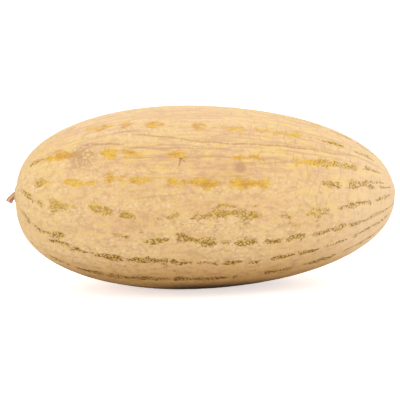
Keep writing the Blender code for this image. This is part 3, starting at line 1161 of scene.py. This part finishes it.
# Single scratches on the front: from and to, each as millimetres from the stem end and degrees round, then
# half the width in millimetres, how plain it is, and its colour. The first four meet in a star-shaped crack.
SCRATCHES = (
    ((123.0, 34.5), (120.5, 30.0), 0.65, 0.42, DARK_OLIVE),
    ((123.0, 34.5), (125.0, 32.0), 0.55, 0.38, DARK_OLIVE),
    ((121.0, 34.5), (124.5, 34.5), 0.50, 0.30, DARK_OLIVE),
    ((125.5, 35.0), (131.5, 36.5), 0.45, 0.32, DARK_OLIVE),
    ((13.0, 22.0), (31.0, 29.5), 0.60, 0.60, PALE_CORK),
)

rind_skin = bpy.data.materials.new("netted_rind")
rind_skin.use_nodes = True
rind_mesh = grow("rind_shape", fruit_shape_tree(rind_skin), FRUIT_SHAPE)
lay_bands(rind_mesh)
lay_cracks(rind_mesh)
spots = {
    "rubbed": place_on(rind_mesh, from_stem_end=168.0, turn=29.0),
    "knot": place_on(rind_mesh, from_stem_end=50.0, turn=42.5),
    "sunned": place_on(rind_mesh, from_stem_end=118.0, turn=24.0),
}
CORK_RELIEF["Knot Place"] = ("NodeSocketVector", spots["knot"])
rind_mesh = grow("rind", cork_relief_tree(rind_skin), CORK_RELIEF, rind_mesh)
paint_rind(rind_skin, spots, [
    (place_on(rind_mesh, *start), place_on(rind_mesh, *end), half_width / MM_PER_METRE, strength, tint)
    for start, end, half_width, strength, tint in SCRATCHES
])
rind = add_piece("rind", rind_mesh)
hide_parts("melon")
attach(rind, "root")

# ---------------------------------------------------------------------------------------------
# The stem: a dried stub of vine, grown into a low corky collar at the melon's end. It shrank between
# its fibres as it dried, so it is ribbed, it droops, and it flares where the knife cut it through.
# ---------------------------------------------------------------------------------------------

FOOT_THICKNESS = 0.0056
NECK_THICKNESS = 0.0046
CUT_THICKNESS = 0.0053
FOOT_SUNK = 0.0020
BEND_REACH = 0.0050
BEND_DROP = 0.0018
CUT_END_IN = CUT_THICKNESS * 0.47
CUT_END_UP = CUT_THICKNESS * 0.20

stem_low, stem_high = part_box("stem")
stem_foot = Vector((stem_high.x + FOOT_SUNK, 0.0, stem_high.z - FOOT_THICKNESS / 2))
stem_cut = Vector((stem_low.x + CUT_END_IN, 0.0, stem_low.z + CUT_END_UP))
stem_bend = Vector((stem_foot.x - BEND_REACH, 0.0, stem_foot.z - BEND_DROP))

STEM_STUB = {
    "Foot": ("NodeSocketVector", stem_foot),
    "Bend": ("NodeSocketVector", stem_bend),
    "Cut End": ("NodeSocketVector", stem_cut),
    "Foot Thickness": ("NodeSocketFloat", FOOT_THICKNESS),
    "Neck Thickness": ("NodeSocketFloat", NECK_THICKNESS),
    "Cut Thickness": ("NodeSocketFloat", CUT_THICKNESS),
    "Ribs": ("NodeSocketFloat", 5.0),
    "Rib Depth": ("NodeSocketFloat", 0.12),
    "Rib Twist": ("NodeSocketFloat", 1.3),
    "Hollow Depth": ("NodeSocketFloat", 0.0007),
    "Points Around": ("NodeSocketInt", 80),
    "Rings": ("NodeSocketInt", 90),
}
# Shares of the ball's rings: the closed foot takes the rings before the first, and the cut face those after
# the second.
FOOT_SHARE = 0.06
CUT_SHARE = 0.84
RAIL_POINTS = 48
FIBRE_SPACING = 0.25
FIBRE_LENGTH = 0.5
FIBRE_SWELL = 0.30
TORN_REACH = 0.0022


def stem_stub_tree(material):
    """Lays a plain ball's rings along the stem's curve: a closed foot inside the rind, the ribbed shaft, and
    the hollow cut face."""
    tree, given = tree_with_inputs("stem_stub", STEM_STUB, takes_geometry=False)
    rail = add_node(
        tree,
        "GeometryNodeCurveQuadraticBezier",
        Start=given["Foot"],
        Middle=given["Bend"],
        End=given["Cut End"],
        Resolution=RAIL_POINTS,
    )
    ball, ball_x, ball_y, ball_z = ball_of_rings(tree, given)
    ring_share = calc("ARCCOSINE", ball_z) / math.pi
    turn = calc("ARCTAN2", ball_y, ball_x)

    travel = add_node(tree, "ShaderNodeMapRange", Value=ring_share, From_Min=FOOT_SHARE, From_Max=CUT_SHARE)
    along = Reading(travel.outputs["Result"])
    on_rail = tree.nodes.new("GeometryNodeSampleCurve")
    on_rail.mode = "FACTOR"
    wire(on_rail.inputs["Curves"], Reading(rail.outputs["Curve"]))
    wire(on_rail.inputs["Factor"], along)
    middle, tangent, normal = (Reading(on_rail.outputs[name]) for name in ("Position", "Tangent", "Normal"))

    # Thick at the foot, thin at the neck and wider again at the cut, with ribs that twist a little.
    to_neck = given["Foot Thickness"] - given["Neck Thickness"]
    to_cut = given["Cut Thickness"] - given["Neck Thickness"]
    thickness = given["Neck Thickness"] + fade(along, 0.50, 0.0) * to_neck + fade(along, 0.55, 1.0) * to_cut
    rib = calc("COSINE", turn * given["Ribs"] + along * given["Rib Twist"])
    turn_cosine = calc("COSINE", turn)
    turn_sine = calc("SINE", turn)
    fibre_place = vector_of(along * FIBRE_LENGTH, turn_cosine, turn_sine)
    fibre = cloud(fibre_place, FIBRE_SPACING, 3.0)[0] - 0.5
    full = 1.0 + rib * given["Rib Depth"] * 0.5 + fibre * FIBRE_SWELL
    face_left = (1.0 - ring_share) / (1.0 - CUT_SHARE)
    closing = calc("SQRT", fade(ring_share, 0.0, FOOT_SHARE)) * calc("MINIMUM", face_left, 1.0)
    radius = thickness * 0.5 * full * closing

    # The cut face is hollow in the middle, and its rim is torn.
    towards_core = 1.0 - closing
    on_face = calc("GREATER_THAN", ring_share, CUT_SHARE)
    hollow = fade(towards_core, 0.15, 0.65) * given["Hollow Depth"] * on_face * -1.0
    torn = fibre * fade(along, 0.75, 1.0) * TORN_REACH
    place = middle
    for way, distance in (
        (normal, turn_cosine * radius),
        (vector_calc("CROSS_PRODUCT", tangent, normal), turn_sine * radius),
        (tangent, hollow + torn),
    ):
        place = vector_calc("ADD", place, scaled(way, distance))

    body = keep(ball, "fibre", fibre)
    body = keep(body, "rib", rib)
    body = keep(body, "cut_face", on_face)
    body = keep(body, "towards_core", towards_core)
    finish_tree(tree, moved(body, Position=place), material)
    return tree


STRAW = shade(216, 170, 134)
DRIED_GROOVE = shade(124, 80, 50)
CUT_WOOD = shade(188, 172, 146)
CUT_CORE = shade(120, 92, 68)
STEM_FLECK_SPACING = 0.0009
STEM_SPECULAR = 0.25
STEM_BUMP_STRENGTH = 0.8


def paint_stem(skin):
    """Straw-coloured ribs with darker grooves between them, and a pale cut face with a dark core."""
    tree = skin.node_tree
    shader = tree.nodes["Principled BSDF"]
    fleck = cloud(painted_place(tree), STEM_FLECK_SPACING, 3.0)[0]
    rib = point_value(tree, "rib")
    fibre = point_value(tree, "fibre")
    groove = rib * -0.5 + fibre * -2.5 + fleck * 0.9
    color = blend(fade(groove, 0.25, 1.15), STRAW, DRIED_GROOVE)
    cut = point_value(tree, "cut_face")
    in_core = fade(point_value(tree, "towards_core"), 0.35, 0.85)
    face_color = blend(in_core, CUT_WOOD, CUT_CORE)
    color = blend(cut * 0.85, color, face_color)
    wire(shader.inputs["Base Color"], color)
    wire(shader.inputs["Roughness"], 0.72 + fleck * 0.25)
    shader.inputs["Specular IOR Level"].default_value = STEM_SPECULAR
    add_bump(shader, fleck * 0.00012 + fibre * 0.0006, STEM_BUMP_STRENGTH)


stem_skin = bpy.data.materials.new("dried_stem")
stem_skin.use_nodes = True
paint_stem(stem_skin)
stem_piece = add_piece("stem_stub", grow("stem_stub", stem_stub_tree(stem_skin), STEM_STUB))
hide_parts("stem")
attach(stem_piece, "root")
